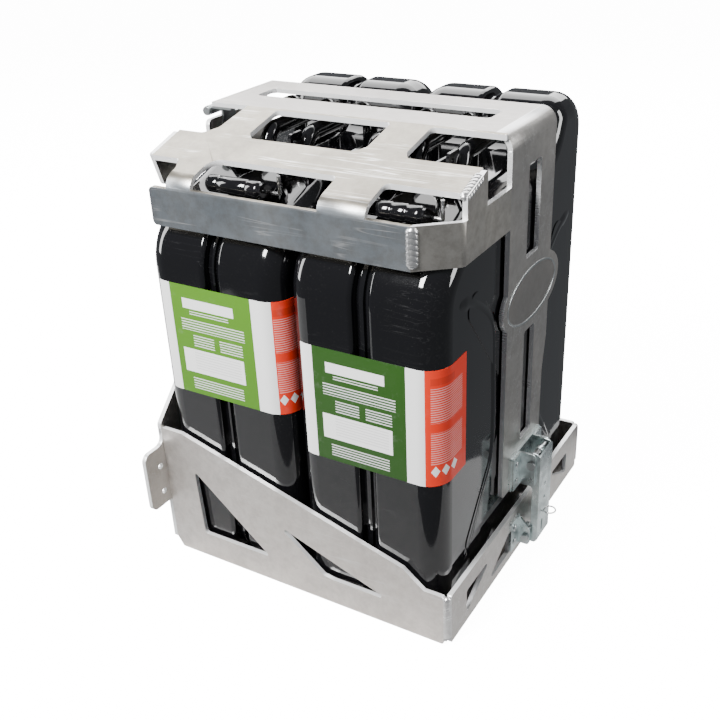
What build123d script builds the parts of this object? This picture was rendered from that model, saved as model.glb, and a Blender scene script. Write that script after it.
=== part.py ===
from build123d import *
import os
from math import cos, radians, sin, tan

# Twin 20 litre jerry can carrier: a folded sheet tray with a tall left plate, a hood hinged along the
# top of that plate, one over-centre draw latch on the right, and the two steel cans it holds.
# Millimetres. X runs left to right, Y front to back (the front is -Y), Z up. The origin is the middle
# of the tray's underside.

os.makedirs("parts", exist_ok=True)

# ---------------------------------------------------------------- driving dimensions
SHEET = 4.8  # aluminium sheet of the carrier
HALF_W = 175.5  # tray, outside
HALF_D = 183.0
LOW = 60.0  # height of the right wall and of the low end of the front and rear walls
HIGH = 158.0  # height of their left end
FOOT_CUT = 12.0  # corner cut at the left foot of the walls
EAR_REACH = 31.0
EAR_LOW, EAR_HIGH = 64.5, 137.0
EAR_HOLE_R = 3.5
EAR_HOLES = (-192.5, 97.0, 32.5)  # y, middle z, spacing

STRAP_OUT = 170.2  # outer face of the hood's right upright
STRAP_FRONT, STRAP_BACK = -46.0, 62.0
STRAP_TOP = 479.0
STRAP_FOOT = 88.0
STRAP_BEND = 16.0
PLATE_LEFT = -164.0  # left edge of the hood's top plate
DECK_SLOPE = 17.5  # the header deck falls away to the front, degrees
DECK_START = STRAP_FRONT
LIP_Y = -172.0
LIP_LOW, LIP_SLOT = 390.0, 430.0
LIP_LEFT, LIP_RIGHT = -148.0, 134.0
LIP_BEND = 16.0
WING_FRONT = -143.0
HINGE_X, HINGE_Z, HINGE_R, HINGE_PIN = -171.0, 469.0, 5.0, 2.5

CAN_HALF = 81.0  # half the width of one can
CAN_PITCH = 166.0
CAN_FRONT, CAN_BACK = -175.0, 168.0
CAN_BASE = SHEET
CAN_TOP = 475.8
CAN_SHEET = 1.1
GROOVE_HALF = 8.0  # half the width of the groove that the weld seam lies in
GROOVE_DEEP = 9.0
SEAM_HALF = 1.2
SHOULDER = 17.5  # slope of the shoulder that the neck stands on, degrees
NECK_Y, NECK_R = -117.0, 21.0
CAP_R, CAP_TALL = 27.0, 13.0

LATCH_Y = 10.0  # middle of the latch along the strap
PIVOT_X, PIVOT_Z = 188.0, 115.6  # the lever turns here
LINK_X, LINK_Z = 189.6, 124.7  # the hook link hangs here
KEEPER_X, KEEPER_Z = 185.5, 22.0
RING_X, RING_Z = 197.0, 47.0

STRAP_IN = STRAP_OUT - SHEET


def deck_z(y):
    """Height of the deck's upper face above a place on it."""
    return STRAP_TOP - (DECK_START - y) * tan(radians(DECK_SLOPE))


def side(x):
    """A sketch plane across the object at x: local x is world Y, local y is world Z."""
    return Plane(origin=(x, 0, 0), x_dir=(0, 1, 0), z_dir=(1, 0, 0))


def front(y):
    """A sketch plane facing the front at y: local x is world X, local y is world Z."""
    return Plane(origin=(0, y, 0), x_dir=(1, 0, 0), z_dir=(0, -1, 0))


def save(built, label):
    built.part.label = label
    export_step(built.part, f"parts/{label}.step")


# ---------------------------------------------------------------- tray
with BuildPart() as tray_floor:
    with BuildSketch():
        Rectangle(2 * (HALF_W - SHEET), 2 * (HALF_D - SHEET))
        with GridLocations(240, 260, 2, 2):
            Circle(4.5, mode=Mode.SUBTRACT)
        with GridLocations(80, 260, 2, 2):
            SlotOverall(40, 12, mode=Mode.SUBTRACT)
    extrude(amount=SHEET)
save(tray_floor, "tray_floor")

WALL_RIGHT = HALF_W - SHEET - 0.9
WALL_OUTLINE = [
    (-HALF_W + FOOT_CUT, 0), (WALL_RIGHT, 0), (WALL_RIGHT, LOW), (148, LOW), (125, 79),
    (-143, HIGH), (-HALF_W + SHEET, HIGH), (-HALF_W + SHEET, FOOT_CUT),
]
TALL_WINDOW = [(-131, 113), (-127, 31), (-38, 31)]
LONG_WINDOW = [(-24, 79), (30, 33), (41, 31), (109, 31)]


def truss_wall(y):
    """Front or rear wall: tall on the left, low on the right, with two truss windows."""
    with BuildPart() as wall:
        with BuildSketch(front(y)):
            with BuildLine():
                FilletPolyline(*WALL_OUTLINE, radius=3, close=True)
            make_face()
            for window, radius in ((TALL_WINDOW, [2, 4, 2]), (LONG_WINDOW, [2, 6, 6, 2])):
                with BuildLine():
                    FilletPolyline(*window, radius=radius, close=True)
                make_face(mode=Mode.SUBTRACT)
        extrude(amount=-SHEET)
    return wall


save(truss_wall(-HALF_D), "tray_front_wall")
save(truss_wall(HALF_D - SHEET), "tray_rear_wall")

with BuildPart() as tray_right_wall:
    with BuildSketch(side(HALF_W - SHEET)):
        with Locations((0, LOW / 2)):
            RectangleRounded(2 * (HALF_D - SHEET) - 1.8, LOW, 2.5)
        for way in (-1, 1):
            with BuildLine():
                FilletPolyline((way * 142, 40), (way * 142, 11), (way * 83, 40), radius=3, close=True)
            make_face(mode=Mode.SUBTRACT)
            with BuildLine():
                FilletPolyline((way * 33, 40), (way * 33, 11), (way * 90, 11), radius=3, close=True)
            make_face(mode=Mode.SUBTRACT)
    extrude(amount=SHEET)
save(tray_right_wall, "tray_right_wall")

PLATE_TOP = 459.0
PLATE_OUTLINE = [
    (-HALF_D + FOOT_CUT, 0), (-HALF_D, FOOT_CUT), (-HALF_D, EAR_LOW), (-HALF_D - EAR_REACH, EAR_LOW),
    (-HALF_D - EAR_REACH, EAR_HIGH), (-HALF_D, EAR_HIGH), (-HALF_D, HIGH + 4),
    (STRAP_FRONT, HIGH + 4 + HALF_D + STRAP_FRONT), (STRAP_FRONT, PLATE_TOP), (STRAP_BACK, PLATE_TOP),
    (STRAP_BACK, HIGH + 4 + HALF_D - STRAP_BACK), (HALF_D, HIGH + 4), (HALF_D, FOOT_CUT),
    (HALF_D - FOOT_CUT, 0),
]
PLATE_RADII = [3, 3, 2, 9, 9, 9, 6, 12, 6, 6, 12, 6, 3, 3]
with BuildPart() as tray_left_plate:
    with BuildSketch(side(-HALF_W)):
        with BuildLine():
            FilletPolyline(*PLATE_OUTLINE, radius=PLATE_RADII, close=True)
        make_face()
        ear_y, ear_z, ear_gap = EAR_HOLES
        with Locations((ear_y, ear_z)), GridLocations(1, ear_gap, 1, 2):
            Circle(EAR_HOLE_R, mode=Mode.SUBTRACT)
        with Locations((LATCH_Y, 395), (LATCH_Y, 220)):
            SlotOverall(100, 28, rotation=90, mode=Mode.SUBTRACT)
    extrude(amount=SHEET)
save(tray_left_plate, "tray_left_plate")

with BuildPart() as tray_corner_welds:
    for y in (-HALF_D + SHEET / 2 + 0.35, HALF_D - SHEET / 2 - 0.35):
        with BuildSketch(Plane.XY.offset(SHEET)):
            with Locations((HALF_W - SHEET / 2 - 0.35, y)):
                Rectangle(SHEET + 0.7, SHEET + 0.7)
            fillet(vertices(), radius=2.2)
        extrude(amount=LOW - SHEET - 2)
save(tray_corner_welds, "tray_corner_welds")

# ---------------------------------------------------------------- keeper on the right wall
EAR_T = 2.5
EAR_GAP = 41.0  # clear width between the keeper's ears


def mirrored(y):
    """The two places of a thing that the latch has on both sides, y from its middle."""
    return [(LATCH_Y - y, -1), (LATCH_Y + y, 1)]


with BuildPart() as latch_keeper:
    for y, way in mirrored(EAR_GAP / 2):
        with BuildSketch(side(HALF_W)):
            with BuildLine():
                FilletPolyline((y, 12), (y + way * 24, 12), (y + way * 24, 50), (y, 50), radius=2, close=True)
            make_face()
        extrude(amount=EAR_T)
        with BuildSketch(front(y)):
            with BuildLine():
                FilletPolyline((HALF_W, 12), (HALF_W + 15, 12), (HALF_W + 15, 33), (HALF_W + 4, 46), (HALF_W, 46),
                               radius=[1, 4, 5, 1, 1], close=True)
            make_face()
            with Locations((KEEPER_X, KEEPER_Z)):
                Circle(3.05, mode=Mode.SUBTRACT)
        extrude(amount=-way * EAR_T)
save(latch_keeper, "latch_keeper")

with BuildPart() as keeper_bolt:
    with BuildSketch(front(LATCH_Y - EAR_GAP / 2 - EAR_T - 4)):
        with Locations((KEEPER_X, KEEPER_Z)):
            RegularPolygon(4.6, 6)
    extrude(amount=-4)
    with BuildSketch(front(LATCH_Y - EAR_GAP / 2 - EAR_T)):
        with Locations((KEEPER_X, KEEPER_Z)):
            Circle(3)
    extrude(amount=-(EAR_GAP + 2 * EAR_T + 4))
save(keeper_bolt, "keeper_bolt")

with BuildPart() as keeper_rivets:
    for y, way in mirrored(EAR_GAP / 2 + 15):
        with BuildSketch(side(HALF_W + EAR_T)):
            with Locations((y, 22), (y, 40)):
                Circle(4)
        extrude(amount=1.6)
    fillet(edges().group_by(Axis.X)[-1], radius=1.2)
save(keeper_rivets, "keeper_rivets")

# ---------------------------------------------------------------- hinge along the top of the left plate
KNUCKLE = 21.0
KNUCKLE_GAP = 0.5
KNUCKLE_STEP = KNUCKLE + KNUCKLE_GAP
KNUCKLE_FIRST = (STRAP_FRONT + STRAP_BACK - 5 * KNUCKLE - 4 * KNUCKLE_GAP) / 2


def knuckles(numbers, leaf_low, leaf_high, leaf_width):
    """Hinge barrels with a leaf that spans two corners, from the barrel outwards."""
    with BuildPart() as leaf:
        for number in numbers:
            start = KNUCKLE_FIRST + number * KNUCKLE_STEP
            with BuildSketch(front(start)):
                with Locations((HINGE_X, HINGE_Z)):
                    Circle(HINGE_R)
                with BuildLine():
                    Polyline(leaf_low, (leaf_high[0], leaf_low[1]), leaf_high, (leaf_low[0], leaf_high[1]),
                             close=True)
                make_face()
                with Locations((HINGE_X, HINGE_Z)):
                    Circle(HINGE_PIN + 0.05, mode=Mode.SUBTRACT)
            extrude(amount=-leaf_width)
    return leaf


PLATE_IN = -HALF_W + SHEET
save(knuckles((1, 3), (PLATE_IN, 432), (PLATE_IN + 2.6, HINGE_Z - HINGE_PIN - 0.6), KNUCKLE), "hinge_fixed_leaf")
save(knuckles((0, 2, 4), (HINGE_X, HINGE_Z + HINGE_PIN + 0.4), (-140, STRAP_TOP - SHEET), KNUCKLE),
     "hinge_hood_leaf")

with BuildPart() as hood_hinge_pin:
    with BuildSketch(front(KNUCKLE_FIRST - 0.5)):
        with Locations((HINGE_X, HINGE_Z)):
            Circle(HINGE_PIN)
    extrude(amount=-(5 * KNUCKLE_STEP + 1))
    with BuildSketch(front(KNUCKLE_FIRST - 2.5)):
        with Locations((HINGE_X, HINGE_Z)):
            Circle(HINGE_R - 0.6)
    extrude(amount=-2)
save(hood_hinge_pin, "hood_hinge_pin")

# ---------------------------------------------------------------- hood
BEND_X = STRAP_OUT - STRAP_BEND
with BuildPart() as hood_top_plate:
    with BuildSketch(Plane.XY.offset(STRAP_TOP - SHEET)):
        with Locations(((PLATE_LEFT + BEND_X) / 2, (STRAP_FRONT + STRAP_BACK) / 2)):
            Rectangle(BEND_X - PLATE_LEFT, STRAP_BACK - STRAP_FRONT)
        with BuildLine():
            FilletPolyline((-137, 0), (-134, -4), (126, -4), (129, 0), (129, 24), (125, 29), (-134, 29), (-138, 24),
                           radius=1.5, close=True)
        make_face(mode=Mode.SUBTRACT)
    extrude(amount=SHEET)
save(hood_top_plate, "hood_top_plate")

BOSS_Y, BOSS_Z, BOSS_A, BOSS_B = 16.0, 304.0, 72.0, 37.0
with BuildPart() as hood_right_upright:
    with BuildSketch(side(STRAP_IN)):
        with BuildLine():
            FilletPolyline((STRAP_FRONT, STRAP_TOP - STRAP_BEND), (STRAP_FRONT, STRAP_FOOT), (54, STRAP_FOOT),
                           (54, 196), (STRAP_BACK, 236), (STRAP_BACK, STRAP_TOP - STRAP_BEND),
                           radius=[0.5, 6, 6, 20, 20, 0.5], close=True)
        make_face()
        with Locations((BOSS_Y, BOSS_Z)):
            Ellipse(BOSS_A, BOSS_B)
        with Locations((11.5, 393)):
            RectangleRounded(31, 94, 3, mode=Mode.SUBTRACT)
        with Locations((12.5, 202)):
            RectangleRounded(27, 128, 3, mode=Mode.SUBTRACT)
    extrude(amount=SHEET)
    with BuildSketch(front(STRAP_FRONT)):
        with Locations((BEND_X, STRAP_TOP - STRAP_BEND)):
            Circle(STRAP_BEND)
            Circle(STRAP_BEND - SHEET, mode=Mode.SUBTRACT)
            Rectangle(STRAP_BEND, STRAP_BEND, align=(Align.MIN, Align.MIN), mode=Mode.INTERSECT)
    extrude(amount=-(STRAP_BACK - STRAP_FRONT))
save(hood_right_upright, "hood_right_upright")

ARM_END = -98.0  # front edge of the deck's three windows
SLOT_BACK = -135.0
CORNER_BACK = -140.7  # where the right front panel meets the wing, inside
LIP_IN = LIP_Y + SHEET
DECK_WINDOWS = [
    ([(-200, 0), (-110, 0), (-124, -86), (-136, ARM_END), (-200, ARM_END)], [1, 5, 8, 8, 1]),
    ([(-80, -49), (50, -49), (47, -89), (37, ARM_END), (-77, ARM_END), (-84, -90)], [4, 4, 5, 5, 4, 4]),
    ([(92, -49), (200, -49), (200, ARM_END), (93, ARM_END), (88, -90)], [5, 1, 1, 4, 4]),
]
with BuildPart() as header_deck:
    with BuildSketch(side(-STRAP_IN)) as deck_section:
        inner_start = STRAP_TOP - SHEET / cos(radians(DECK_SLOPE))
        inner_corner = inner_start - (DECK_START - LIP_IN) * tan(radians(DECK_SLOPE))
        with BuildLine():
            Polyline((DECK_START, STRAP_TOP), (LIP_Y, deck_z(LIP_Y)), (LIP_Y, LIP_LOW), (LIP_IN, LIP_LOW),
                     (LIP_IN, inner_corner), (DECK_START, inner_start), close=True)
        make_face()
        fillet(deck_section.vertices().sort_by_distance((LIP_Y, deck_z(LIP_Y), 0))[0], radius=LIP_BEND)
        fillet(deck_section.vertices().sort_by_distance((LIP_IN, inner_corner, 0))[0],
               radius=LIP_BEND - SHEET)
    extrude(amount=2 * STRAP_IN)
    with BuildSketch(Plane.XY.offset(LIP_LOW + 20)):
        for outline, radii in DECK_WINDOWS:
            with BuildLine():
                FilletPolyline(*outline, radius=radii, close=True)
            make_face()
    extrude(amount=100, mode=Mode.SUBTRACT)
    with BuildSketch(Plane.XY.offset(LIP_SLOT)):
        with BuildLine():
            FilletPolyline((-97, -200), (-97, SLOT_BACK), (43, SLOT_BACK), (43, -200), radius=[1, 14, 5, 1],
                           close=True)
        make_face()
        with BuildLine():
            FilletPolyline((91, -200), (91, SLOT_BACK), (200, SLOT_BACK), (200, -200), radius=[1, 6, 1, 1],
                           close=True)
        make_face()
    extrude(amount=60, mode=Mode.SUBTRACT)
    with BuildSketch(Plane.XY.offset(LIP_SLOT - 1.5)):
        with BuildLine():
            FilletPolyline((-200, -142), (-132, -142), (-125, -156), (-128, -200), (-200, -200),
                           radius=[1, 3, 12, 1, 1], close=True)
        make_face()
    extrude(amount=60, mode=Mode.SUBTRACT)
    with BuildSketch(front(LIP_Y - 5)):
        with Locations((LIP_LEFT - 60, LIP_LOW)):
            Rectangle(60, LIP_SLOT - 1.5 - LIP_LOW, align=(Align.MIN, Align.MIN))
        with Locations((LIP_RIGHT, LIP_LOW)):
            Rectangle(60, LIP_SLOT - LIP_LOW, align=(Align.MIN, Align.MIN))
    extrude(amount=-20, mode=Mode.SUBTRACT)
    lip_corners = edges().filter_by(Axis.Y).filter_by_position(Axis.Z, LIP_LOW - 1, LIP_SLOT)
    fillet(lip_corners.group_by(Axis.X)[0], radius=5)
save(header_deck, "header_deck")

with BuildPart() as header_right_wing:
    with BuildSketch(Plane.XY.offset(LIP_LOW)):
        with BuildLine():
            Polyline((LIP_RIGHT, LIP_Y), (STRAP_OUT, WING_FRONT), (STRAP_OUT, STRAP_FRONT),
                     (STRAP_IN, STRAP_FRONT), (STRAP_IN, CORNER_BACK), (LIP_RIGHT, LIP_Y + 6.1), close=True)
        make_face()
        fillet(vertices().sort_by_distance((STRAP_OUT, WING_FRONT, 0))[0], radius=7)
        fillet(vertices().sort_by_distance((STRAP_IN, CORNER_BACK, 0))[0], radius=3)
    extrude(amount=LIP_SLOT - LIP_LOW)
    with BuildSketch(side(STRAP_IN)):
        with BuildLine():
            FilletPolyline((-138, LIP_SLOT - 6), (-138, deck_z(-138)), (ARM_END, deck_z(ARM_END)),
                           (ARM_END, LIP_SLOT - 6), radius=[1, 3, 3, 1], close=True)
        make_face()
    extrude(amount=SHEET)
save(header_right_wing, "header_right_wing")

WING_DEEP = 38.0
with BuildPart() as header_left_wing:
    with BuildSketch(side(-STRAP_OUT)):
        tilt = radians(DECK_SLOPE)
        drop = (WING_DEEP * sin(tilt), -WING_DEEP * cos(tilt))
        wing_back, wing_front = (ARM_END - 1, deck_z(ARM_END - 1)), (-141, deck_z(-141))
        with BuildLine():
            FilletPolyline(wing_back, wing_front, (wing_front[0] + drop[0], wing_front[1] + drop[1]),
                           (wing_back[0] + drop[0], wing_back[1] + drop[1]), radius=[4, 2, 6, 6], close=True)
        make_face()
    extrude(amount=SHEET)
save(header_left_wing, "header_left_wing")

with BuildPart() as header_welds:
    with BuildSketch(Plane.XY.offset(LIP_LOW + 0.5)):
        with Locations((LIP_RIGHT + 0.6, LIP_Y + 2.2)):
            Circle(4.4)
    extrude(amount=LIP_SLOT - LIP_LOW - 1)
    along = Vector(0, -138 - ARM_END, deck_z(-138) - deck_z(ARM_END))
    with BuildSketch(Plane(origin=(STRAP_OUT - 2.8, ARM_END - 4, deck_z(ARM_END - 4) - 1.6), z_dir=along)):
        Circle(3.6)
    extrude(amount=along.length - 8)
    add(header_deck.part, mode=Mode.SUBTRACT)
    add(header_right_wing.part, mode=Mode.SUBTRACT)
    split(bisect_by=Plane(origin=(LIP_RIGHT - 4, LIP_Y + 3.6, 0), z_dir=(0.3, -1, 0)), keep=Keep.TOP)
save(header_welds, "header_welds")

# ---------------------------------------------------------------- latch on the hood's right upright
BACKING_T = 3.0  # backing plate under the bracket
BRACKET_LOW, BRACKET_HIGH = 89.0, 129.0
CHEEK_GAP = 36.0  # clear width between the bracket's cheeks
BRACKET_X = STRAP_OUT + BACKING_T
with BuildPart() as latch_backing_plate:
    with BuildSketch(side(STRAP_OUT)):
        with Locations((LATCH_Y, (BRACKET_LOW + BRACKET_HIGH) / 2)):
            RectangleRounded(80, BRACKET_HIGH - BRACKET_LOW + 2, 2)
    extrude(amount=BACKING_T)
save(latch_backing_plate, "latch_backing_plate")

with BuildPart() as latch_bracket:
    for y, way in mirrored(CHEEK_GAP / 2):
        with BuildSketch(side(BRACKET_X)):
            with BuildLine():
                FilletPolyline((y, BRACKET_LOW), (y + way * 21, BRACKET_LOW), (y + way * 21, BRACKET_HIGH),
                               (y, BRACKET_HIGH), radius=1.5, close=True)
            make_face()
        extrude(amount=EAR_T)
        with BuildSketch(front(y)):
            with BuildLine():
                FilletPolyline((BRACKET_X, BRACKET_LOW), (BRACKET_X + 19, BRACKET_LOW),
                               (BRACKET_X + 19, BRACKET_HIGH), (BRACKET_X, BRACKET_HIGH),
                               radius=[0.5, 3, 3, 0.5], close=True)
            make_face()
            with Locations((PIVOT_X, PIVOT_Z)):
                Circle(3.05, mode=Mode.SUBTRACT)
        extrude(amount=-way * EAR_T)
save(latch_bracket, "latch_bracket")

with BuildPart() as latch_rivets:
    for y, way in mirrored(CHEEK_GAP / 2 + 12.5):
        with BuildSketch(side(BRACKET_X + EAR_T)):
            with Locations((y, BRACKET_LOW + 10), (y, BRACKET_HIGH - 10)):
                Circle(3.2)
        extrude(amount=1.4)
    fillet(edges().group_by(Axis.X)[-1], radius=1.0)
save(latch_rivets, "latch_rivets")

LEVER_HALF = 17.6  # half the lever's outside width
LEVER_T = 2.0
with BuildPart() as latch_pivots:
    for y, way in mirrored(0):
        stack = (
            (LEVER_HALF - LEVER_T - 1.4, 1.2, 4.2),
            (LEVER_HALF - LEVER_T - 0.2, LEVER_T + 0.2 + CHEEK_GAP / 2 + EAR_T - LEVER_HALF, 3.0),
            (CHEEK_GAP / 2 + EAR_T, 2.4, 5.0),
        )
        for start, length, radius in stack:
            with BuildSketch(front(y + way * start)):
                with Locations((PIVOT_X, PIVOT_Z)):
                    Circle(radius)
            extrude(amount=-way * length)
save(latch_pivots, "latch_pivots")

LEVER_X = 197.0  # outer face of the lever's web
CROWN_R = 13.9  # the lever's rounded top, about its pivot
with BuildPart() as latch_lever:
    with BuildSketch(front(LATCH_Y - LEVER_HALF)):
        with BuildLine():
            Polyline((LEVER_X, 17), (LEVER_X, 126.2), (193, 126.2), (180, 119), (180, 99), (189.2, 84),
                     (189.2, 14), (194, 14), close=True)
        make_face()
        with Locations((PIVOT_X, PIVOT_Z)):
            Circle(CROWN_R)
            Rectangle(8, 17, align=(Align.MAX, Align.MAX), mode=Mode.ADD)
        with Locations((LEVER_X, 60)):
            Rectangle(40, 140, align=(Align.MAX, Align.CENTER), mode=Mode.INTERSECT)
    extrude(amount=-2 * LEVER_HALF)
    with BuildSketch(front(LATCH_Y - LEVER_HALF + LEVER_T)):
        with Locations((LEVER_X - LEVER_T, 72)):
            Rectangle(60, 160, align=(Align.MAX, Align.CENTER))
    extrude(amount=-2 * (LEVER_HALF - LEVER_T), mode=Mode.SUBTRACT)
    with BuildSketch(front(LATCH_Y - LEVER_HALF)):
        with Locations((PIVOT_X, PIVOT_Z)):
            Circle(3.05)
        with Locations((LINK_X, LINK_Z)):
            Circle(2.55)
    extrude(amount=-2 * LEVER_HALF, mode=Mode.SUBTRACT)
    with BuildSketch(side(LEVER_X)):
        with Locations((LATCH_Y, 84), (LATCH_Y, 66)):
            Circle(2.2)
        with Locations((LATCH_Y + 4, RING_Z)):
            RectangleRounded(11, 3.4, 1)
        with Locations((LATCH_Y - 4, 31)):
            SlotOverall(16, 4, rotation=90)
    extrude(amount=-LEVER_T, mode=Mode.SUBTRACT)
save(latch_lever, "latch_lever")

with BuildPart() as link_pin:
    with BuildSketch(front(LATCH_Y - LEVER_HALF + 0.2)):
        with Locations((LINK_X, LINK_Z)):
            Circle(2.5)
    extrude(amount=-2 * (LEVER_HALF - 0.2))
save(link_pin, "link_pin")

SPRING_R, SPRING_WIRE, SPRING_LENGTH = 3.5, 0.5, 7.5
with BuildPart() as latch_spring:
    with BuildLine() as coil:
        Helix(pitch=1.8, height=SPRING_LENGTH, radius=SPRING_R, center=(LINK_X, LATCH_Y - 14, LINK_Z),
              direction=(0, 1, 0))
    with BuildSketch(Plane(origin=coil.line @ 0, z_dir=coil.line % 0)):
        Circle(SPRING_WIRE)
    sweep(is_frenet=True)
save(latch_spring, "latch_spring")

HOOK_IN, HOOK_OUT = 5.0, 9.0
with BuildPart() as hook_link:
    with BuildSketch(front(LATCH_Y - 5)):
        with Locations((KEEPER_X, KEEPER_Z)):
            Circle(HOOK_OUT)
            Rectangle(2 * HOOK_OUT, HOOK_OUT, align=(Align.CENTER, Align.MIN), mode=Mode.SUBTRACT)
        with Locations((KEEPER_X + HOOK_IN, KEEPER_Z)):
            Rectangle(HOOK_OUT - HOOK_IN, LINK_Z - KEEPER_Z, align=(Align.MIN, Align.MIN))
        with Locations((LINK_X, LINK_Z)):
            Circle(4.6)
        with Locations((KEEPER_X, KEEPER_Z)):
            Circle(HOOK_IN, mode=Mode.SUBTRACT)
        with Locations((LINK_X, LINK_Z)):
            Circle(2.55, mode=Mode.SUBTRACT)
    extrude(amount=-10)
save(hook_link, "hook_link")

RING_R, RING_WIRE = 6.5, 0.9
with BuildPart() as pull_ring:
    with BuildSketch(Plane(origin=(RING_X - 1 + RING_R, LATCH_Y + 4 - RING_R, RING_Z), z_dir=(1, 0, 0))):
        Circle(RING_WIRE)
    revolve(axis=Axis((RING_X - 1 + RING_R, LATCH_Y + 4, RING_Z), (0, 0, 1)), revolution_arc=360)
save(pull_ring, "pull_ring")

# ---------------------------------------------------------------- cans
CAN_BODY = CAN_HALF - 0.8  # the embossed cross stands this much proud of the wide faces
CAN_OUTLINE = [
    (CAN_FRONT, CAN_BASE), (CAN_FRONT, 372), (-143, 402), (-56, 402 + 87 * tan(radians(SHOULDER))),
    (74, 430), (97, CAN_TOP), (CAN_BACK, CAN_TOP), (CAN_BACK, CAN_BASE),
]
CAN_RADII = [34, 60, 40, 40, 34, 26, 40, 34]
WIDE_EDGE, LIP_EDGE = 24.0, 5.0
CAP_OFFSET = 25.0  # the neck stands this far to the right of the seam
NECK_UP = Vector(0, -sin(radians(SHOULDER)), cos(radians(SHOULDER)))
NECK_BACK = Vector(0, cos(radians(SHOULDER)), sin(radians(SHOULDER)))
NECK_Z = 402 + (NECK_Y + 143) * tan(radians(SHOULDER))
NECK_BORE, NECK_TALL, NECK_COLLAR = 18.5, 11.0, 2.5
CAP_HINGE = (31.0, 8.0)  # back from the neck's middle, up from the shoulder
CAP_PIN = (-16.0, 23.5)
GRIP = (-24.6, 31.4)
GRIP_R = 6.5
BAR_Z = 461.0  # middle of the carrying handles
BAR_PITCH = 45.0
CAP_PIN_R = 1.8


def can_block(low_x, high_x, inset=0.0, low_edge=0.0, high_edge=0.0):
    """A solid of the can's side outline between two X places, with its two rims rounded."""
    with BuildPart() as block:
        with BuildSketch(side(low_x)):
            with BuildLine():
                FilletPolyline(*CAN_OUTLINE, radius=CAN_RADII, close=True)
            make_face()
            if inset:
                offset(amount=-inset, kind=Kind.INTERSECTION)
        extrude(amount=high_x - low_x)
        if low_edge:
            fillet(faces().sort_by(Axis.X)[0].edges(), radius=low_edge)
        if high_edge:
            fillet(faces().sort_by(Axis.X)[-1].edges(), radius=high_edge)
    return block.part


def neck_top(middle, up=0.0):
    """A plane square to the neck: local x is world X, local y points uphill."""
    return Plane(origin=Vector(middle + CAP_OFFSET, NECK_Y, NECK_Z) + NECK_UP * up, x_dir=(1, 0, 0), z_dir=NECK_UP)


def neck_side(middle, across):
    """A plane along the neck: local x points uphill, local y up the neck."""
    return Plane(origin=(middle + CAP_OFFSET + across, NECK_Y, NECK_Z), x_dir=NECK_BACK, z_dir=(1, 0, 0))


def can_half(middle, way):
    """One pressed half of a can: an open shell with a stepped rim beside the seam."""
    with BuildPart() as half:
        add(can_block(GROOVE_HALF, CAN_BODY, 0, LIP_EDGE, WIDE_EDGE))
        add(can_block(SEAM_HALF, GROOVE_HALF + LIP_EDGE, GROOVE_DEEP))
        with BuildSketch(side(CAN_BODY - 0.2)):
            for turn in (-1, 1):
                with Locations((-3, 205)):
                    SlotOverall(360, 30, rotation=turn * 52)
            with Locations((-3, 205)):
                RectangleRounded(70, 150, 14)
        extrude(amount=CAN_HALF - CAN_BODY + 0.2)
        add(can_block(GROOVE_HALF + CAN_SHEET, CAN_BODY - CAN_SHEET, CAN_SHEET, LIP_EDGE, WIDE_EDGE - CAN_SHEET),
            mode=Mode.SUBTRACT)
        add(can_block(SEAM_HALF, GROOVE_HALF + LIP_EDGE + 2, GROOVE_DEEP + CAN_SHEET), mode=Mode.SUBTRACT)
        if way < 0:
            mirror(about=Plane.YZ, mode=Mode.REPLACE)
    with BuildPart() as placed:
        with Locations((middle, 0, 0)):
            add(half.part)
        if way > 0:
            with BuildSketch(neck_top(middle, -30)):
                Circle(NECK_BORE)
            extrude(amount=40, mode=Mode.SUBTRACT)
    return placed


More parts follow.
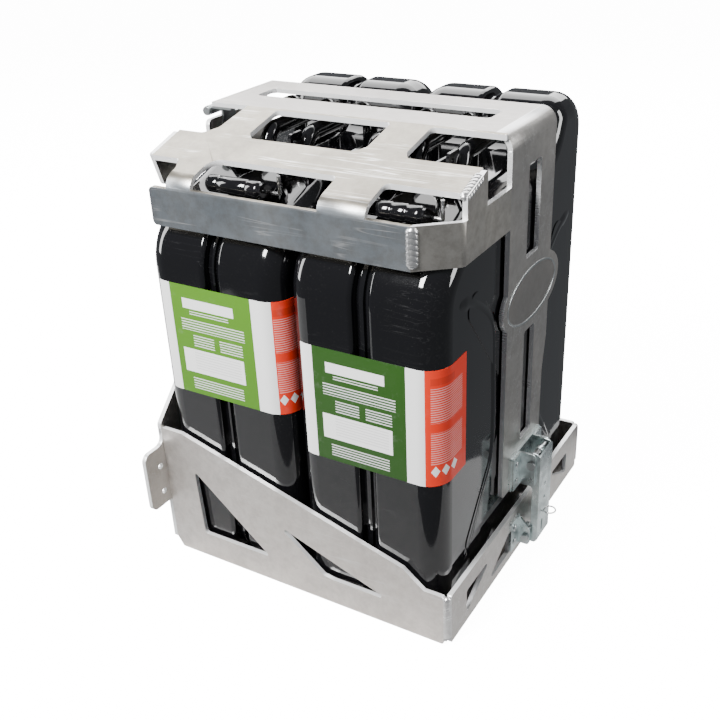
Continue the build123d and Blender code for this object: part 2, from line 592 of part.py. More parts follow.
for name, middle in (("left", -CAN_PITCH / 2), ("right", CAN_PITCH / 2)):
    save(can_half(middle, -1), f"{name}_can_left_half")
    save(can_half(middle, 1), f"{name}_can_right_half")

    with BuildPart() as seam:
        with Locations((middle, 0, 0)):
            add(can_block(-SEAM_HALF, SEAM_HALF, GROOVE_DEEP - 3))
            add(can_block(-SEAM_HALF, SEAM_HALF, GROOVE_DEEP + 5), mode=Mode.SUBTRACT)
    save(seam, f"{name}_can_seam")

    with BuildPart() as handles:
        for x in (middle - BAR_PITCH, middle, middle + BAR_PITCH):
            with BuildLine() as bar:
                FilletPolyline((x, -64, 405), (x, -64, BAR_Z), (x, 60, BAR_Z), (x, 60, 415), radius=16)
            with BuildSketch(Plane.XY.offset(405)):
                with Locations((x, -64)):
                    Circle(8)
            sweep(path=bar.line)
        with BuildSketch(side(middle + BAR_PITCH - 1.5)):
            with BuildLine():
                FilletPolyline((-70, 452), (-90, 452), (-90, 468), (-70, 468), radius=[1, 4, 4, 1], close=True)
            make_face()
            with Locations((-83, 460)):
                Circle(2.6, mode=Mode.SUBTRACT)
        extrude(amount=3)
        with Locations((middle, 0, 0)):
            add(can_block(-60, 60), mode=Mode.SUBTRACT)
    save(handles, f"{name}_can_handles")

    with BuildPart() as neck:
        with BuildSketch(neck_top(middle)):
            Circle(27)
            with Locations((0, 26)):
                Rectangle(30, 22)
            Circle(NECK_BORE, mode=Mode.SUBTRACT)
        extrude(amount=NECK_COLLAR)
        with BuildSketch(neck_top(middle)):
            Circle(NECK_R)
            Circle(NECK_BORE, mode=Mode.SUBTRACT)
        extrude(amount=NECK_TALL)
        for across in (-13, 9):
            with BuildSketch(neck_side(middle, across)):
                with Locations((CAP_HINGE[0], 0)):
                    Rectangle(8, CAP_HINGE[1], align=(Align.CENTER, Align.MIN))
                with Locations(CAP_HINGE):
                    Circle(4)
                    Circle(CAP_PIN_R + 0.05, mode=Mode.SUBTRACT)
            extrude(amount=4)
    save(neck, f"{name}_can_neck")

    with BuildPart() as vent_tube:
        with BuildSketch(neck_top(middle, -60)):
            with Locations((0, NECK_BORE - 3.1)):
                Circle(3)
                Circle(2.2, mode=Mode.SUBTRACT)
        extrude(amount=68)
    save(vent_tube, f"{name}_can_vent_tube")

    with BuildPart() as cap:
        with BuildSketch(neck_top(middle, 8)):
            Circle(25)
        extrude(amount=11)
        fillet(edges().sort_by(Axis((0, 0, 0), NECK_UP))[-1], radius=3)
        with BuildSketch(neck_top(middle, 8)):
            Circle(NECK_R + 0.6)
        extrude(amount=5, mode=Mode.SUBTRACT)
        with BuildSketch(neck_side(middle, -8)):
            with Locations((CAP_HINGE[0], CAP_HINGE[1])):
                Rectangle(8.5, 4, align=(Align.MAX, Align.MIN))
                Circle(4)
                Circle(CAP_PIN_R + 0.05, mode=Mode.SUBTRACT)
        extrude(amount=16)
        for across in (-12, 9):
            with BuildSketch(neck_side(middle, across)):
                with Locations((CAP_PIN[0], 18.5)):
                    Rectangle(10, CAP_PIN[1] - 18.5, align=(Align.CENTER, Align.MIN))
                with Locations(CAP_PIN):
                    Circle(5)
                    Circle(CAP_PIN_R + 0.05, mode=Mode.SUBTRACT)
            extrude(amount=3)
    save(cap, f"{name}_cap")

    with BuildPart() as gasket:
        with BuildSketch(neck_top(middle, NECK_TALL)):
            Circle(NECK_R + 0.5)
            Circle(NECK_BORE, mode=Mode.SUBTRACT)
        extrude(amount=2)
    save(gasket, f"{name}_cap_gasket")

    with BuildPart() as hinge_pin:
        with BuildSketch(neck_side(middle, -14.5)):
            with Locations(CAP_HINGE):
                Circle(CAP_PIN_R)
        extrude(amount=29)
    save(hinge_pin, f"{name}_cap_hinge_pin")

    with BuildPart() as lock_pin:
        with BuildSketch(neck_side(middle, -31)):
            with Locations(CAP_PIN):
                Circle(CAP_PIN_R)
        extrude(amount=71)
        tail = neck_side(middle, 40).from_local_coords((*CAP_PIN, 0))
        with Locations(tail):
            Sphere(CAP_PIN_R)
            Cylinder(CAP_PIN_R, 17, align=(Align.CENTER, Align.CENTER, Align.MIN))
    save(lock_pin, f"{name}_cap_lock_pin")

    with BuildPart() as cap_lever:
        for across in (-30, 27.5):
            with BuildSketch(neck_side(middle, across)):
                make_hull(Edge.make_circle(5).moved(Location(CAP_PIN)).edges()
                          + Edge.make_circle(GRIP_R).moved(Location(GRIP)).edges())
                with Locations(CAP_PIN):
                    Circle(CAP_PIN_R + 0.05, mode=Mode.SUBTRACT)
            extrude(amount=2.5)
        with BuildSketch(neck_side(middle, -30)):
            with Locations(GRIP):
                Circle(GRIP_R)
                Circle(GRIP_R - 1.5, mode=Mode.SUBTRACT)
        extrude(amount=60)
    save(cap_lever, f"{name}_cap_lever")

LABEL_T = 0.4
for name, middle, low in (("left", -CAN_PITCH / 2, 211), ("right", CAN_PITCH / 2, 178)):
    with BuildPart() as label:
        with BuildSketch(Plane.XY.offset(low)):
            with Locations((middle, (CAN_FRONT + CAN_BACK) / 2)):
                RectangleRounded(2 * (CAN_BODY + LABEL_T), CAN_BACK - CAN_FRONT + 2 * LABEL_T, WIDE_EDGE + LABEL_T)
                RectangleRounded(2 * CAN_BODY, CAN_BACK - CAN_FRONT, WIDE_EDGE, mode=Mode.SUBTRACT)
            with Locations((middle - 67, -200)):
                Rectangle(160, 77, align=(Align.MIN, Align.MIN), mode=Mode.INTERSECT)
        extrude(amount=122)
    save(label, f"{name}_can_label")
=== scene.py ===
import bpy
import math
from mathutils import Matrix, Vector


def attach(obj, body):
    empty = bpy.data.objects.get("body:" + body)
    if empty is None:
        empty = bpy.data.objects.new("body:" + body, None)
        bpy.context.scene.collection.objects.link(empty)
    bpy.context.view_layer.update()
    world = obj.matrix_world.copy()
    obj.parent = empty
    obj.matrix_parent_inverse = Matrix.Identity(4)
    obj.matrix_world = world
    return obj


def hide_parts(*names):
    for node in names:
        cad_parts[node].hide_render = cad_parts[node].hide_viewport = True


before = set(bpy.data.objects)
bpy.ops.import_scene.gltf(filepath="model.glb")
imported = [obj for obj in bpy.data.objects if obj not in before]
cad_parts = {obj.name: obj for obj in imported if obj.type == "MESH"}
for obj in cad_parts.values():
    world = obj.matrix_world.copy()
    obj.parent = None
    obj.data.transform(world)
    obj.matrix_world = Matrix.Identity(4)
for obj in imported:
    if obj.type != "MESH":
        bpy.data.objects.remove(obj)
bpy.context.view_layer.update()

# Sizes and places on the object are in millimetres along the frame's axes, and MM turns them into metres.
MM = 0.001
CAN_MIDDLE = {"left": -83, "right": 83}
CAN_FACE = 80.2  # from a can's middle to its wide face
CAN_FRONT = 175
BOSS_Y, BOSS_Z = 16, 304
LIP_BEND = -157.5
CORNER_X, CORNER_Y = 172.0, 179.4
GRIP_Y, GRIP_Z = -150.0, 432.6


# ---------------------------------------------------------------- material helpers
class Paint:
    """A material's node tree with short names for the nodes used here."""

    def __init__(self, name):
        self.mat = bpy.data.materials.new(name)
        self.mat.use_nodes = True
        self.tree = self.mat.node_tree
        self.tree.nodes.clear()
        self.shader = self.node("ShaderNodeBsdfPrincipled")
        output = self.node("ShaderNodeOutputMaterial")
        self.tree.links.new(self.shader.outputs[0], output.inputs[0])
        place = self.node("ShaderNodeTexCoord")
        self.at = place.outputs["Object"]
        self.facing = place.outputs["Normal"]

    def node(self, kind, **props):
        made = self.tree.nodes.new(kind)
        for key, value in props.items():
            setattr(made, key, value)
        return made

    def feed(self, socket, value):
        if hasattr(value, "is_output"):
            self.tree.links.new(value, socket)
        else:
            socket.default_value = value

    def set(self, name, value):
        self.feed(self.shader.inputs[name], value)

    def math(self, how, a, b=0.0):
        made = self.node("ShaderNodeMath", operation=how)
        self.feed(made.inputs[0], a)
        self.feed(made.inputs[1], b)
        return made.outputs[0]

    def times(self, a, b):
        return self.math("MULTIPLY", a, b)

    def plus(self, a, b):
        return self.math("ADD", a, b)

    def minus(self, a, b):
        return self.math("SUBTRACT", a, b)

    def size(self, a):
        return self.math("ABSOLUTE", a)

    def split(self, vector):
        made = self.node("ShaderNodeSeparateXYZ")
        self.feed(made.inputs[0], vector)
        return made.outputs

    def stretch(self, scale, turn):
        made = self.node("ShaderNodeMapping")
        self.feed(made.inputs["Vector"], self.at)
        made.inputs["Rotation"].default_value = turn
        made.inputs["Scale"].default_value = scale
        return made.outputs[0]

    def noise(self, scale, detail, rough=0.55, where=None):
        made = self.node("ShaderNodeTexNoise")
        self.feed(made.inputs["Vector"], where or self.at)
        made.inputs["Scale"].default_value = scale
        made.inputs["Detail"].default_value = detail
        made.inputs["Roughness"].default_value = rough
        return made.outputs[0]

    def ramp(self, value, low, high, out_low=0.0, out_high=1.0):
        made = self.node("ShaderNodeMapRange")
        for socket, number in zip(made.inputs, (value, low, high, out_low, out_high)):
            self.feed(socket, number)
        return made.outputs[0]

    def mix(self, factor, a, b):
        made = self.node("ShaderNodeMix", data_type="RGBA")
        self.feed(made.inputs[0], factor)
        self.feed(made.inputs[6], a if hasattr(a, "is_output") else (*a, 1.0))
        self.feed(made.inputs[7], b if hasattr(b, "is_output") else (*b, 1.0))
        return made.outputs[2]

    def bump(self, height, strength, distance, under=None):
        made = self.node("ShaderNodeBump")
        made.inputs["Strength"].default_value = strength
        made.inputs["Distance"].default_value = distance
        self.feed(made.inputs["Height"], height)
        if under:
            self.feed(made.inputs["Normal"], under)
        self.feed(self.shader.inputs["Normal"], made.outputs[0])
        return made.outputs[0]


def lines(p, scale, turn, width):
    """Thin broken scratches that run along the mapped X."""
    field = p.noise(1.0, 2.0, 0.5, p.stretch(scale, turn))
    near = p.size(p.minus(field, 0.5))
    broken = p.ramp(p.noise(14.0, 2.0), 0.48, 0.58)
    return p.times(p.ramp(near, width, 0.0), broken)


def darkened(tone, share):
    return [share * v for v in tone]


# ---------------------------------------------------------------- materials
CUT_TONE, SCRATCH_TONE = (0.899, 0.899, 0.899), (0.95, 0.95, 0.95)


def aluminium(name, tone, dark, axis, rough=(0.30, 0.46), scratch=0.25, turn=(0.0, 0.0, 0.0),
              lip_shade_tone=None, boss=False):
    """Mill-finish sheet: mottled, with a fine grain, scratches and brighter cut edges.

    axis is the way its faces look: 0, 1 or 2. The bent-down front, on faces that look forward, can take a painted
    shade tone, and boss adds a shaded oval.
    """
    p = Paint(name)
    # Painted shade: faces of the bent-down front that look forward take a cool shade tone instead of the sheet's
    # own.
    if lip_shade_tone:
        tone = p.mix(p.ramp(p.split(p.facing)[1], -0.62, -0.95), tone, lip_shade_tone)
    cloud = p.ramp(p.noise(11.0, 5.0, 0.62), 0.34, 0.68)
    speck = p.ramp(p.noise(95.0, 4.0, 0.7), 0.40, 0.66)
    stain = p.ramp(p.noise(26.0, 6.0, 0.72), 0.60, 0.78)
    colour = p.mix(p.times(cloud, 0.30), tone, dark)
    colour = p.mix(p.times(speck, 0.36), colour, dark)
    colour = p.mix(p.times(stain, 0.42), colour, dark)
    marks = lines(p, (4.0, 160.0, 90.0), turn, 0.018)
    colour = p.mix(p.times(marks, scratch), colour, SCRATCH_TONE)

    across = p.size(p.split(p.facing)[axis])
    if lip_shade_tone:
        bent = p.math("LESS_THAN", p.split(p.at)[1], LIP_BEND * MM)
        across = p.math("MAXIMUM", across, p.times(bent, p.size(p.split(p.facing)[1])))
    cut = p.ramp(across, 0.62, 0.35)
    colour = p.mix(cut, colour, CUT_TONE)

    if boss:
        x, y, z = p.split(p.at)
        y_part = p.math("POWER", p.math("DIVIDE", p.minus(y, BOSS_Y * MM), 60 * MM), 2.0)
        z_part = p.math("POWER", p.math("DIVIDE", p.minus(z, BOSS_Z * MM), 26 * MM), 2.0)
        colour = p.mix(p.ramp(p.plus(y_part, z_part), 1.02, 0.98, 0.0, 0.55), colour, dark)

    grain = p.noise(1.0, 3.0, 0.6, p.stretch((30.0, 900.0, 900.0), turn))
    roughness = p.ramp(p.plus(p.times(cloud, 0.7), p.times(grain, 0.3)), 0.2, 0.8, *rough)
    p.set("Base Color", colour)
    p.set("Metallic", p.ramp(cut, 0.0, 1.0, 0.92, 0.45))
    p.set("Roughness", p.plus(roughness, p.times(cut, -0.06)))
    fine = p.bump(grain, 0.12, 0.0002)
    p.bump(p.plus(p.times(speck, 0.4), p.times(marks, -0.6)), 0.18, 0.0003, fine)
    return p.mat


def bright_steel(name, tone, rough=0.24):
    """Zinc-plated steel: cloudy, with worn high spots."""
    p = Paint(name)
    cloud = p.ramp(p.noise(60.0, 4.0, 0.6), 0.35, 0.68)
    fleck = p.ramp(p.noise(420.0, 2.0, 0.5), 0.45, 0.62)
    marks = lines(p, (20.0, 700.0, 300.0), (0.3, 0.9, 0.2), 0.02)
    plating = p.mix(cloud, tone, darkened(tone, 0.72))
    p.set("Base Color", p.mix(p.times(marks, 0.5), plating, (0.9, 0.9, 0.9)))
    p.set("Metallic", 1.0)
    p.set("Roughness", p.ramp(cloud, 0.0, 1.0, rough, rough + 0.16))
    p.bump(p.plus(fleck, p.times(marks, -1.0)), 0.12, 0.0002)
    return p.mat


def weld_metal():
    """Clean bright weld, barely clouded."""
    p = Paint("weld_metal")
    cloud = p.ramp(p.noise(130.0, 4.0, 0.6), 0.3, 0.7)
    p.set("Base Color", p.mix(cloud, (0.86, 0.86, 0.86), (0.62, 0.61, 0.60)))
    p.set("Metallic", 0.95)
    p.set("Roughness", p.ramp(cloud, 0.0, 1.0, 0.22, 0.40))
    p.bump(p.noise(500.0, 3.0), 0.15, 0.0003)
    return p.mat


def can_black():
    """Black gloss powder coat over pressed steel: slightly wavy, dusty in places, rubbed at a few spots."""
    p = Paint("can_black")
    dust = p.ramp(p.noise(900.0, 2.0, 0.6), 0.66, 0.74)
    where = p.ramp(p.noise(9.0, 3.0), 0.42, 0.70)
    smear = p.ramp(p.noise(22.0, 5.0, 0.65), 0.45, 0.75)
    rub = lines(p, (8.0, 260.0, 160.0), (0.2, 0.5, 0.9), 0.010)
    colour = p.mix(p.times(dust, p.times(where, 0.22)), (0.0035, 0.0035, 0.0042), (0.25, 0.24, 0.23))
    p.set("Base Color", p.mix(p.times(rub, 0.05), colour, (0.3, 0.3, 0.3)))
    p.set("Roughness", p.ramp(smear, 0.0, 1.0, 0.055, 0.12))
    p.set("IOR", 1.5)
    p.set("Coat Weight", 0.3)
    p.set("Coat Roughness", 0.05)
    wave = p.bump(p.noise(10.0, 2.0, 0.45), 0.09, 0.004)
    p.bump(p.noise(300.0, 1.0, 0.4), 0.012, 0.0002, wave)
    return p.mat


def gasket_rubber():
    """Dull dark rubber, faintly grained."""
    p = Paint("gasket_rubber")
    tone = (0.02, 0.02, 0.02)
    cloud = p.ramp(p.noise(180.0, 4.0, 0.6), 0.3, 0.7)
    p.set("Base Color", p.mix(cloud, tone, darkened(tone, 0.78)))
    p.set("Metallic", 0.0)
    p.set("Roughness", p.ramp(cloud, 0.0, 1.0, 0.54, 0.68))
    p.bump(p.noise(540.0, 3.0), 0.12, 0.0002)
    return p.mat


# A label's layout. A patch is x0, x1, z0, z1 from the lower left of its field, and a row patch adds its pitch.
FILM_LEFT, GREEN_RIGHT, SIDE_START, FILM_HEIGHT = -53, 45.5, 64, 122
TITLE_BAR, BLANK_PANEL, PANEL_ROWS = (14, 77, 97, 108), (8, 84, 25, 52), (22, 80, 28, 49)
GREEN_ROWS = (
    (22, 70, 90, 95, 2.6), (10, 88, 73, 87, 2.9), (23, 49, 56, 70, 2.8), (56, 84, 55, 69, 2.8),
    (16, 80, 6, 20, 2.9),
)
RED_ROWS, RED_PITCH = ((8, 60, 68, 104), (8, 60, 24, 58)), 2.4
RED_BAR = (8, 44, 107, 114)
DIAMOND_CENTRES, DIAMOND_HEIGHT, DIAMOND_SIZE = (14, 29, 44), 16, 6.2
FILM_WHITE, FILM_RED, BAR_RED = (0.88, 0.88, 0.87), (0.74, 0.034, 0.010), (0.55, 0.030, 0.01)


def label(name, middle, low, greens, red_from):
    """Printed film: a green field with plain bars and a blank panel, a white band, and a red field with diamonds.

    middle and low place it on its can. The red field starts at red_from and goes on round the corner.
    """
    p = Paint(name)
    x, y, z = p.split(p.at)
    u = p.minus(x, (middle + FILM_LEFT) * MM)
    v = p.minus(z, low * MM)
    s = p.plus(p.minus(x, (middle + SIDE_START) * MM), p.plus(y, CAN_FRONT * MM))

    def between(value, low_edge, high_edge):
        above = p.math("GREATER_THAN", value, low_edge * MM)
        return p.times(above, p.math("LESS_THAN", value, high_edge * MM))

    def patch(a, x0, x1, z0, z1):
        return p.times(between(a, x0, x1), between(v, z0, z1))

    def rows(pitch, share):
        return p.math("LESS_THAN", p.math("FRACT", p.math("DIVIDE", v, pitch * MM)), share)

    field = p.mix(p.ramp(v, 0.0, FILM_HEIGHT * MM), *greens)
    shape = patch(u, *TITLE_BAR)
    for *place, pitch in GREEN_ROWS:
        stripes = p.times(patch(u, *place), rows(pitch, 0.42))
        shape = p.math("MAXIMUM", shape, p.times(stripes, 0.75))
    shape = p.math("MAXIMUM", shape, patch(u, *BLANK_PANEL))
    field = p.mix(shape, field, FILM_WHITE)
    quiet = p.times(patch(u, *PANEL_ROWS), rows(3.0, 0.35))
    field = p.mix(p.times(quiet, 0.30), field, (0.25, 0.25, 0.25))

    red = FILM_RED
    for place in RED_ROWS:
        red = p.mix(p.times(p.times(patch(s, *place), rows(RED_PITCH, 0.45)), 0.35), red, FILM_WHITE)
    red = p.mix(p.times(patch(s, *RED_BAR), 0.85), red, BAR_RED)
    for centre in DIAMOND_CENTRES:
        off = p.plus(p.size(p.minus(s, centre * MM)), p.size(p.minus(v, DIAMOND_HEIGHT * MM)))
        red = p.mix(p.math("LESS_THAN", off, DIAMOND_SIZE * MM), red, FILM_WHITE)

    on_green = between(x, middle + FILM_LEFT, middle + GREEN_RIGHT)
    on_red = p.math("GREATER_THAN", x, red_from * MM)
    colour = p.mix(on_red, p.mix(on_green, FILM_WHITE, field), red)
    scuff = p.ramp(p.noise(70.0, 5.0, 0.7), 0.60, 0.80)
    p.set("Base Color", p.mix(p.times(scuff, 0.10), colour, (0.55, 0.55, 0.55)))
    p.set("Roughness", p.ramp(p.noise(40.0, 3.0), 0.3, 0.7, 0.28, 0.40))
    p.bump(p.noise(26.0, 3.0, 0.5), 0.16, 0.0015)
    return p.mat


WARM, WARM_DARK = (0.76, 0.72, 0.685), (0.43, 0.395, 0.365)
DECK, DECK_DARK = (0.39, 0.36, 0.305), (0.20, 0.18, 0.15)
UPRIGHT, UPRIGHT_DARK = (0.52, 0.505, 0.48), (0.30, 0.28, 0.26)
# Painted shade: a cool blue-grey for the deck's bent-down front, where the same sheet looks shaded as it turns to
# face forward.
LIP_SHADE = (0.36, 0.40, 0.44)
front_sheet = aluminium("front_sheet", WARM, WARM_DARK, 1, (0.34, 0.50), 0.35, (0.0, 0.0, 0.2))
side_sheet = aluminium("side_sheet", (0.58, 0.56, 0.54), WARM_DARK, 0, (0.32, 0.48), 0.35, (0.3, 0.0, 1.57))
plate_sheet = aluminium("plate_sheet", (0.62, 0.60, 0.57), WARM_DARK, 0, (0.34, 0.50), 0.35, (0.3, 0.0, 1.57))
top_sheet = aluminium("top_sheet", (0.62, 0.59, 0.565), WARM_DARK, 2, (0.30, 0.44), 0.30, (0.0, 0.0, 0.1))
upright_sheet = aluminium("upright_sheet", UPRIGHT, UPRIGHT_DARK, 0, (0.30, 0.45), 0.40, (1.3, 0.0, 1.57),
                          boss=True)
deck_sheet = aluminium("deck_sheet", DECK, DECK_DARK, 2, (0.30, 0.44), 0.75, (0.0, 1.05, 0.25), lip_shade_tone=LIP_SHADE)
wing_sheet = aluminium("wing_sheet", (0.58, 0.56, 0.52), DECK_DARK, 0, (0.30, 0.44), 0.30, (0.0, 0.5, 0.9))
floor_sheet = aluminium("floor_sheet", (0.55, 0.54, 0.52), WARM_DARK, 2)
zinc = bright_steel("zinc_plate", (0.70, 0.78, 0.78))
zinc_dull = bright_steel("zinc_dull", (0.60, 0.63, 0.63), 0.30)
wire_steel = bright_steel("wire_steel", (0.62, 0.62, 0.62), 0.20)
weld = weld_metal()
black = can_black()
rubber = gasket_rubber()
LIGHT_GREENS = ((0.062, 0.185, 0.008), (0.078, 0.215, 0.013))
DARK_GREENS = ((0.014, 0.054, 0.005), (0.020, 0.068, 0.008))
left_film = label("left_film", CAN_MIDDLE["left"], 211, LIGHT_GREENS, -15)
right_film = label("right_film", CAN_MIDDLE["right"], 178, DARK_GREENS, 147)

# ---------------------------------------------------------------- what each CAD node wears
WEARS = {
    "tray_floor": floor_sheet, "tray_front_wall": front_sheet, "tray_rear_wall": front_sheet,
    "tray_right_wall": side_sheet, "tray_left_plate": plate_sheet, "tray_corner_welds": weld,
    "hood_top_plate": top_sheet, "hood_right_upright": upright_sheet, "header_deck": deck_sheet,
    "header_right_wing": wing_sheet, "header_left_wing": wing_sheet, "header_welds": weld,
    "hinge_fixed_leaf": zinc_dull, "hinge_hood_leaf": zinc_dull, "hood_hinge_pin": zinc_dull,
    "latch_keeper": zinc, "latch_backing_plate": zinc, "latch_bracket": zinc, "latch_lever": zinc,
    "hook_link": zinc, "keeper_bolt": zinc_dull, "keeper_rivets": zinc_dull, "latch_rivets": zinc_dull,
    "latch_pivots": zinc_dull, "link_pin": zinc_dull, "latch_spring": wire_steel, "pull_ring": wire_steel,
    "left_can_label": left_film, "right_can_label": right_film,
}
for can in CAN_MIDDLE:
    for piece in ("can_left_half", "can_right_half", "can_seam", "can_handles", "can_neck", "cap", "cap_lever"):
        WEARS[f"{can}_{piece}"] = black
    for piece in ("can_vent_tube", "cap_hinge_pin", "cap_lock_pin"):
        WEARS[f"{can}_{piece}"] = wire_steel
    WEARS[f"{can}_cap_gasket"] = rubber

THICK_SHEET = ("tray_", "hood_", "header_")
THIN_SHEET = ("latch_keeper", "latch_backing", "latch_bracket", "latch_lever", "hook_link")


def soften_edges(thing, width):
    """Rounds the sharp edges of a folded or cut piece by a fraction of a millimetre."""
    joined = thing.modifiers.new("join", "WELD")
    joined.merge_threshold = 1e-6
    soft = thing.modifiers.new("edge", "BEVEL")
    soft.width = width * MM
    soft.segments = 2
    soft.limit_method = "ANGLE"
    soft.angle_limit = math.radians(42)
    soft.harden_normals = True


for node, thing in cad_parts.items():
    thing.data.materials.clear()
    thing.data.materials.append(WEARS[node])
    if "weld" in node:
        continue
    if node.startswith(THICK_SHEET):
        soften_edges(thing, 0.35)
    elif node.startswith(THIN_SHEET):
        soften_edges(thing, 0.25)


# ---------------------------------------------------------------- pieces made here
def mesh(name, points, faces, material, body):
    """A smooth-shaded piece, from points in millimetres, that moves with its body."""
    data = bpy.data.meshes.new(name)
    data.from_pydata([Vector(q) * MM for q in points], [], faces)
    data.validate()
    for face in data.polygons:
        face.use_smooth = True
    data.materials.append(material)
    thing = bpy.data.objects.new(name, data)
    bpy.context.scene.collection.objects.link(thing)
    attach(thing, body)
    return thing


def tube_faces(rings, around):
    """Faces of a closed tube whose points come ring after ring."""
    faces = []
    for i in range(rings - 1):
        for k in range(around):
            n = (k + 1) % around
            faces.append((i * around + k, i * around + n, (i + 1) * around + n, (i + 1) * around + k))
    faces.append(tuple(range(around))[::-1])
    faces.append(tuple((rings - 1) * around + k for k in range(around)))
    return faces


def bead(name, low, high, radius, pitch, body, face):
    """A weld bead along a line: overlapping ripples, bowed back at both sides. face points out of the joint."""
    low, high = Vector(low), Vector(high)
    along = (high - low).normalized()
    side = along.cross(Vector(face)).normalized()
    out = side.cross(along)
    length = (high - low).length
    steps = max(8, int(length / pitch * 10))
    around = 28
    points = []
    for i in range(steps + 1):
        t = i / steps * length
        for k in range(around):
            a = 2 * math.pi * k / around
            bow = 0.55 * pitch * math.sin(a) ** 2
            phase = ((t + bow) / pitch) % 1.0
            r = radius * (0.84 + 0.18 * math.sqrt(max(0.0, 1 - phase ** 2)))
            end = min(t, length - t)
            if end < radius:
                r *= math.sqrt(max(0.04, 1 - (1 - end / radius) ** 2))
            points.append(low + along * t + side * math.sin(a) * r + out * math.cos(a) * r * 0.8)
    return mesh(name, points, tube_faces(steps + 1, around), weld, body)


def corner_bead(end, way):
    y = way * CORNER_Y
    return bead(f"corner_bead_{end}", (CORNER_X, y, 5.5), (CORNER_X, y, 59.5), 4.5, 3.4, "tray", (1, way, 0))


front_bead = corner_bead("front", -1)
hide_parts("tray_corner_welds")
corner_bead("rear", 1)
lip_bead = bead("lip_bead", (134.6, -169.4, 391.5), (134.6, -169.4, 430), 5.4, 4.9, "hood", (0.35, -1, 0))
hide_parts("header_welds")
bead("deck_bead", (166.2, -139, 447.0), (166.2, -104, 458.0), 5.0, 4.6, "hood", (1, -0.3, 1))
bead("tray_bead", (-172.5, -180.5, 146), (-172.5, -180.5, 158), 3.6, 4.0, "tray", (0.3, -1, 0.5))


def boss_ring(half_y, half_z, width, inner_x, outer_x):
    """A raised oval rim round the boss on the upright."""
    points, faces = [], []
    count = 96
    for i in range(count):
        t = 2 * math.pi * i / count
        for grow, x in ((0, inner_x), (0, outer_x), (-width, outer_x), (-width, inner_x)):
            points.append((x, BOSS_Y + (half_y + grow) * math.cos(t), BOSS_Z + (half_z + grow) * math.sin(t)))
    for i in range(count):
        j = (i + 1) % count
        for k in range(4):
            m = (k + 1) % 4
            faces.append((4 * i + k, 4 * j + k, 4 * j + m, 4 * i + m))
    return mesh("boss_ring", points, faces, zinc_dull, "hood")


boss_ring(63, 29, 2.4, 170.0, 170.6)


def rib(name, path, x, out, width, height, body):
    """A pressed rib on a can's wide face: a low rounded mound along a path of (y, z) points."""
    smooth = []
    per_span, across = 16, 13
    last = len(path) - 1
    for i in range(last):
        a, b, c, d = (Vector(path[min(max(k, 0), last)]) for k in (i - 1, i, i + 1, i + 2))
        for k in range(per_span):
            t = k / per_span
            smooth.append(0.5 * ((2 * b) + (c - a) * t + (2 * a - 5 * b + 4 * c - d) * t * t
                                 + (3 * b - a - 3 * c + d) * t * t * t))
    smooth.append(Vector(path[-1]))
    points, faces = [], []
    for i, place in enumerate(smooth):
        ahead = (smooth[min(i + 1, len(smooth) - 1)] - smooth[max(i - 1, 0)]).normalized()
        beside = Vector((-ahead.y, ahead.x))
        tip = min(1.0, 0.15 + min(i, len(smooth) - 1 - i) / 8)
        for k in range(across):
            s = 2 * k / (across - 1) - 1
            q = place + beside * (s * width / 2 * (0.5 + 0.5 * tip))
            points.append((x + out * (-0.1 + tip * height * (0.5 + 0.5 * math.cos(math.pi * s))), q.x, q.y))
    for i in range(len(smooth) - 1):
        for k in range(across - 1):
            a = i * across + k
            faces.append((a, a + 1, a + across + 1, a + across))
    return mesh(name, points, faces, black, body)


RIB_MIDDLE_Y = -3
RIB_RUN = ((134, 350), (100, 338), (64, 306), (57, 260), (56, 160), (84, 112), (120, 62))
for can, middle in CAN_MIDDLE.items():
    for turn, way in (("front", -1), ("rear", 1)):
        path = [(RIB_MIDDLE_Y + way * y, z) for y, z in RIB_RUN]
        for face, out in (("in", -1), ("out", 1)):
            rib(f"{can}_rib_{turn}_{face}", path, middle + out * CAN_FACE, out, 17, 1.5, "tray")


def grip(can, start, stop):
    """The fat rolled grip of a can's cap lever, with domed ends and two grooves."""
    radius, around, dome, bends = 8.3, 40, 5, 9
    groove = ((14, 0.0), (15.2, 0.7), (16.4, 0.0))
    stations = []
    for k in range(bends):
        a = math.pi / 2 * k / (bends - 1)
        stations.append((start + dome - dome * math.cos(a), radius * (0.35 + 0.65 * math.sin(a))))
    for inset, dip in groove:
        stations.append((start + inset, radius - dip))
    for inset, dip in reversed(groove):
        stations.append((stop - inset, radius - dip))
    for k in reversed(range(bends)):
        a = math.pi / 2 * k / (bends - 1)
        stations.append((stop - dome + dome * math.cos(a), radius * (0.35 + 0.65 * math.sin(a))))
    points = []
    for x, r in stations:
        for k in range(around):
            a = 2 * math.pi * k / around
            points.append((x, GRIP_Y + r * math.cos(a), GRIP_Z + r * math.sin(a)))
    return mesh(f"{can}_grip", points, tube_faces(len(stations), around), black, f"{can}_cap_grip")


grip("left", -92, -29)
grip("right", 92, 137)

# ---------------------------------------------------------------- floor, wall and light, in metres
AZIMUTH, ELEVATION, ROLL = math.radians(32.0), math.radians(27.86), math.radians(-2.68)
TOWARD = Vector((math.sin(AZIMUTH), -math.cos(AZIMUTH), 0))
ACROSS = Vector((math.cos(AZIMUTH), math.sin(AZIMUTH), 0))
FLOOR_Z, SWEEP_Z = -0.0003, -0.0006
WHITE_GLOW, SWEEP_GLOW = 14.0, 0.62


def paper_sheet(name, points, faces, glow):
    """A pale sheet of the studio that gives off its own light."""
    data = bpy.data.meshes.new(name)
    data.from_pydata(points, [], faces)
    paper = Paint(name)
    paper.set("Base Color", (0.86, 0.86, 0.86, 1.0))
    paper.set("Roughness", 0.85)
    paper.set("Emission Color", (1.0, 1.0, 1.0, 1.0))
    paper.set("Emission Strength", glow)
    data.materials.append(paper.mat)
    thing = bpy.data.objects.new(name, data)
    bpy.context.scene.collection.objects.link(thing)
    return thing


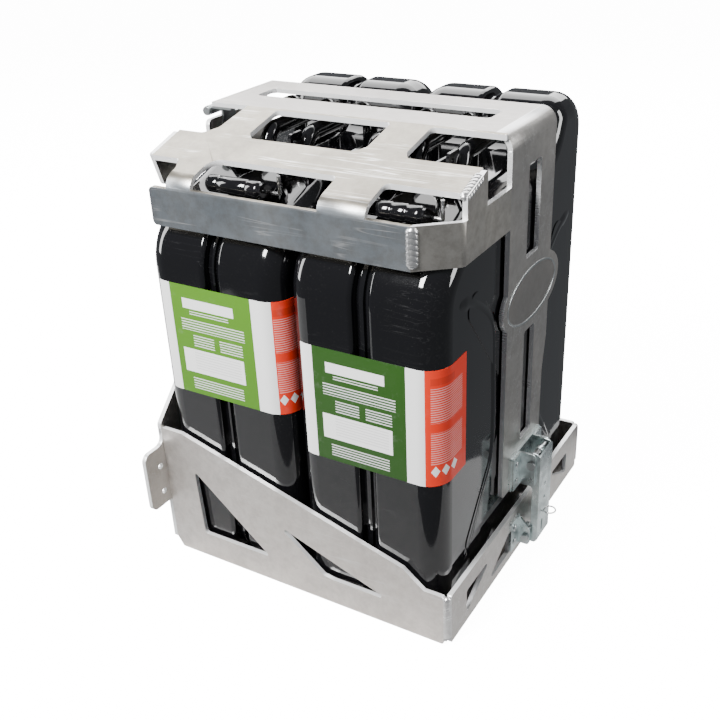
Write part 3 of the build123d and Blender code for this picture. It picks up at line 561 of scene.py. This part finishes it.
def ground(name, spans, height, glow):
    """A flat sheet, with its edges along and towards the camera."""
    (a0, a1), (b0, b1) = spans
    corners = [ACROSS * a + TOWARD * b for a, b in ((a0, b0), (a1, b0), (a1, b1), (a0, b1))]
    return paper_sheet(name, [(q.x, q.y, height) for q in corners], [(0, 1, 2, 3)], glow)


def wall(name, radius, height, glow, count=48):
    """A round wall far behind the object, so that a low view has no dark horizon."""
    turns = [2 * math.pi * k / count for k in range(count)]
    points = [(radius * math.cos(t), radius * math.sin(t), z) for z in (FLOOR_Z, height) for t in turns]
    faces = [(k, (k + 1) % count, count + (k + 1) % count, count + k) for k in range(count)]
    return paper_sheet(name, points, faces, glow)


# The camera sees the white floor and wall, which light nothing. Reflections show the dimmer sweep instead.
floor = ground("studio_floor", ((-40, 40), (-40, 40)), FLOOR_Z, WHITE_GLOW)
backdrop = wall("studio_wall", 20.0, 14.0, WHITE_GLOW)
for sheet in (floor, backdrop):
    sheet.visible_glossy = False
    sheet.visible_diffuse = False
    sheet.visible_transmission = False
    sheet.active_material.cycles.emission_sampling = "NONE"
sweep = ground("studio_sweep", ((-0.9, 0.30), (-1.0, 0.36)), SWEEP_Z, SWEEP_GLOW)
sweep.visible_camera = False
sweep.visible_diffuse = False

world = bpy.data.worlds.new("studio")
world.use_nodes = True
sky_colour, sky_strength = world.node_tree.nodes["Background"].inputs[:2]
sky_colour.default_value = (0.86, 0.90, 0.95, 1.0)
sky_strength.default_value = 0.20
bpy.context.scene.world = world

LAMP_AIM = Vector((0, 0, 0.3))


def lamp(name, place, width, height, power):
    """A rectangular soft lamp that looks at the middle of the object."""
    data = bpy.data.lights.new(name, "AREA")
    data.shape = "RECTANGLE"
    data.size, data.size_y, data.energy = width, height, power
    thing = bpy.data.objects.new(name, data)
    thing.location = place
    thing.rotation_mode = "QUATERNION"
    thing.rotation_quaternion = (LAMP_AIM - Vector(place)).to_track_quat("-Z", "Y")
    bpy.context.scene.collection.objects.link(thing)


lamp("softbox_top", (-0.7, 1.5, 1.9), 3.2, 2.0, 120)
lamp("softbox_front", (-0.35, -1.5, 1.75), 0.5, 0.9, 130)
lamp("softbox_left", (-1.9, -0.9, 0.9), 0.5, 1.4, 30)
lamp("softbox_right", (1.9, 0.6, 1.0), 0.5, 1.3, 30)

# ---------------------------------------------------------------- camera
back = TOWARD * math.cos(ELEVATION) + Vector((0, 0, math.sin(ELEVATION)))
level_up = back.cross(ACROSS)
right = ACROSS * math.cos(ROLL) + level_up * math.sin(ROLL)
up = level_up * math.cos(ROLL) - ACROSS * math.sin(ROLL)
view = bpy.data.cameras.new("camera")
view.lens, view.sensor_width = 48.9, 36.0
view.clip_start, view.clip_end = 0.05, 40.0
camera = bpy.data.objects.new("camera", view)
camera.rotation_mode = "QUATERNION"
camera.rotation_quaternion = Matrix((right, up, back)).transposed().to_quaternion()
camera.location = (0.4956, -0.8363, 0.7087)
bpy.context.scene.collection.objects.link(camera)
bpy.context.scene.camera = camera
